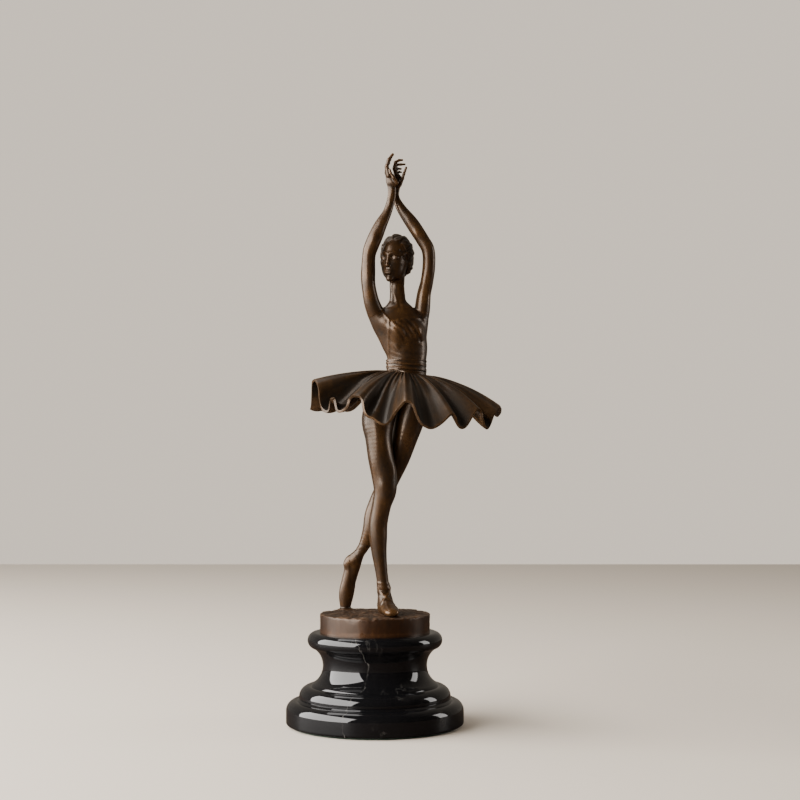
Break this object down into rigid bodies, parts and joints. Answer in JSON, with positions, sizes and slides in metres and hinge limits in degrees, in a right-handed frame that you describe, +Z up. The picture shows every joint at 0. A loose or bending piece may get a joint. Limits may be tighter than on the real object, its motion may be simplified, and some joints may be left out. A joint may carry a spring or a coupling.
{
  "type": "bronze dancer statuette",
  "caption": "Standing dancer in a short flared skirt, arms raised, cast in bronze on a round bronze plinth and a turned black marble base.",
  "frame": {"origin": "centre of the felt's underside, on the turning axis of the marble base", "axes": "+Z up, -Y towards the side that the dancer faces, +X to the right seen from that side"},
  "size_m": [0.1689, 0.1431, 0.4471],
  "materials": {
    "bronze": "satin",
    "skirt_bronze": "satin",
    "plinth_bronze": "satin",
    "marble": "polished",
    "felt": "matte",
    "steel": "satin"
  },
  "bodies": {
    "root": {"felt_pad": "felt", "marble_base": "marble", "stud_nut": "steel", "spring_washer": "steel", "flat_washer": "steel", "base_stud": "steel", "bronze_plinth": "plinth_bronze", "foot_screws": "steel", "right_leg": "bronze", "left_leg": "bronze", "hip_dowels": "steel", "torso": "bronze", "skirt": "skirt_bronze", "waist_sash": "bronze", "shoulder_dowels": "steel", "right_arm": "bronze", "left_arm": "bronze", "neck_dowel": "steel", "head": "bronze"}
  },
  "joints": []
}
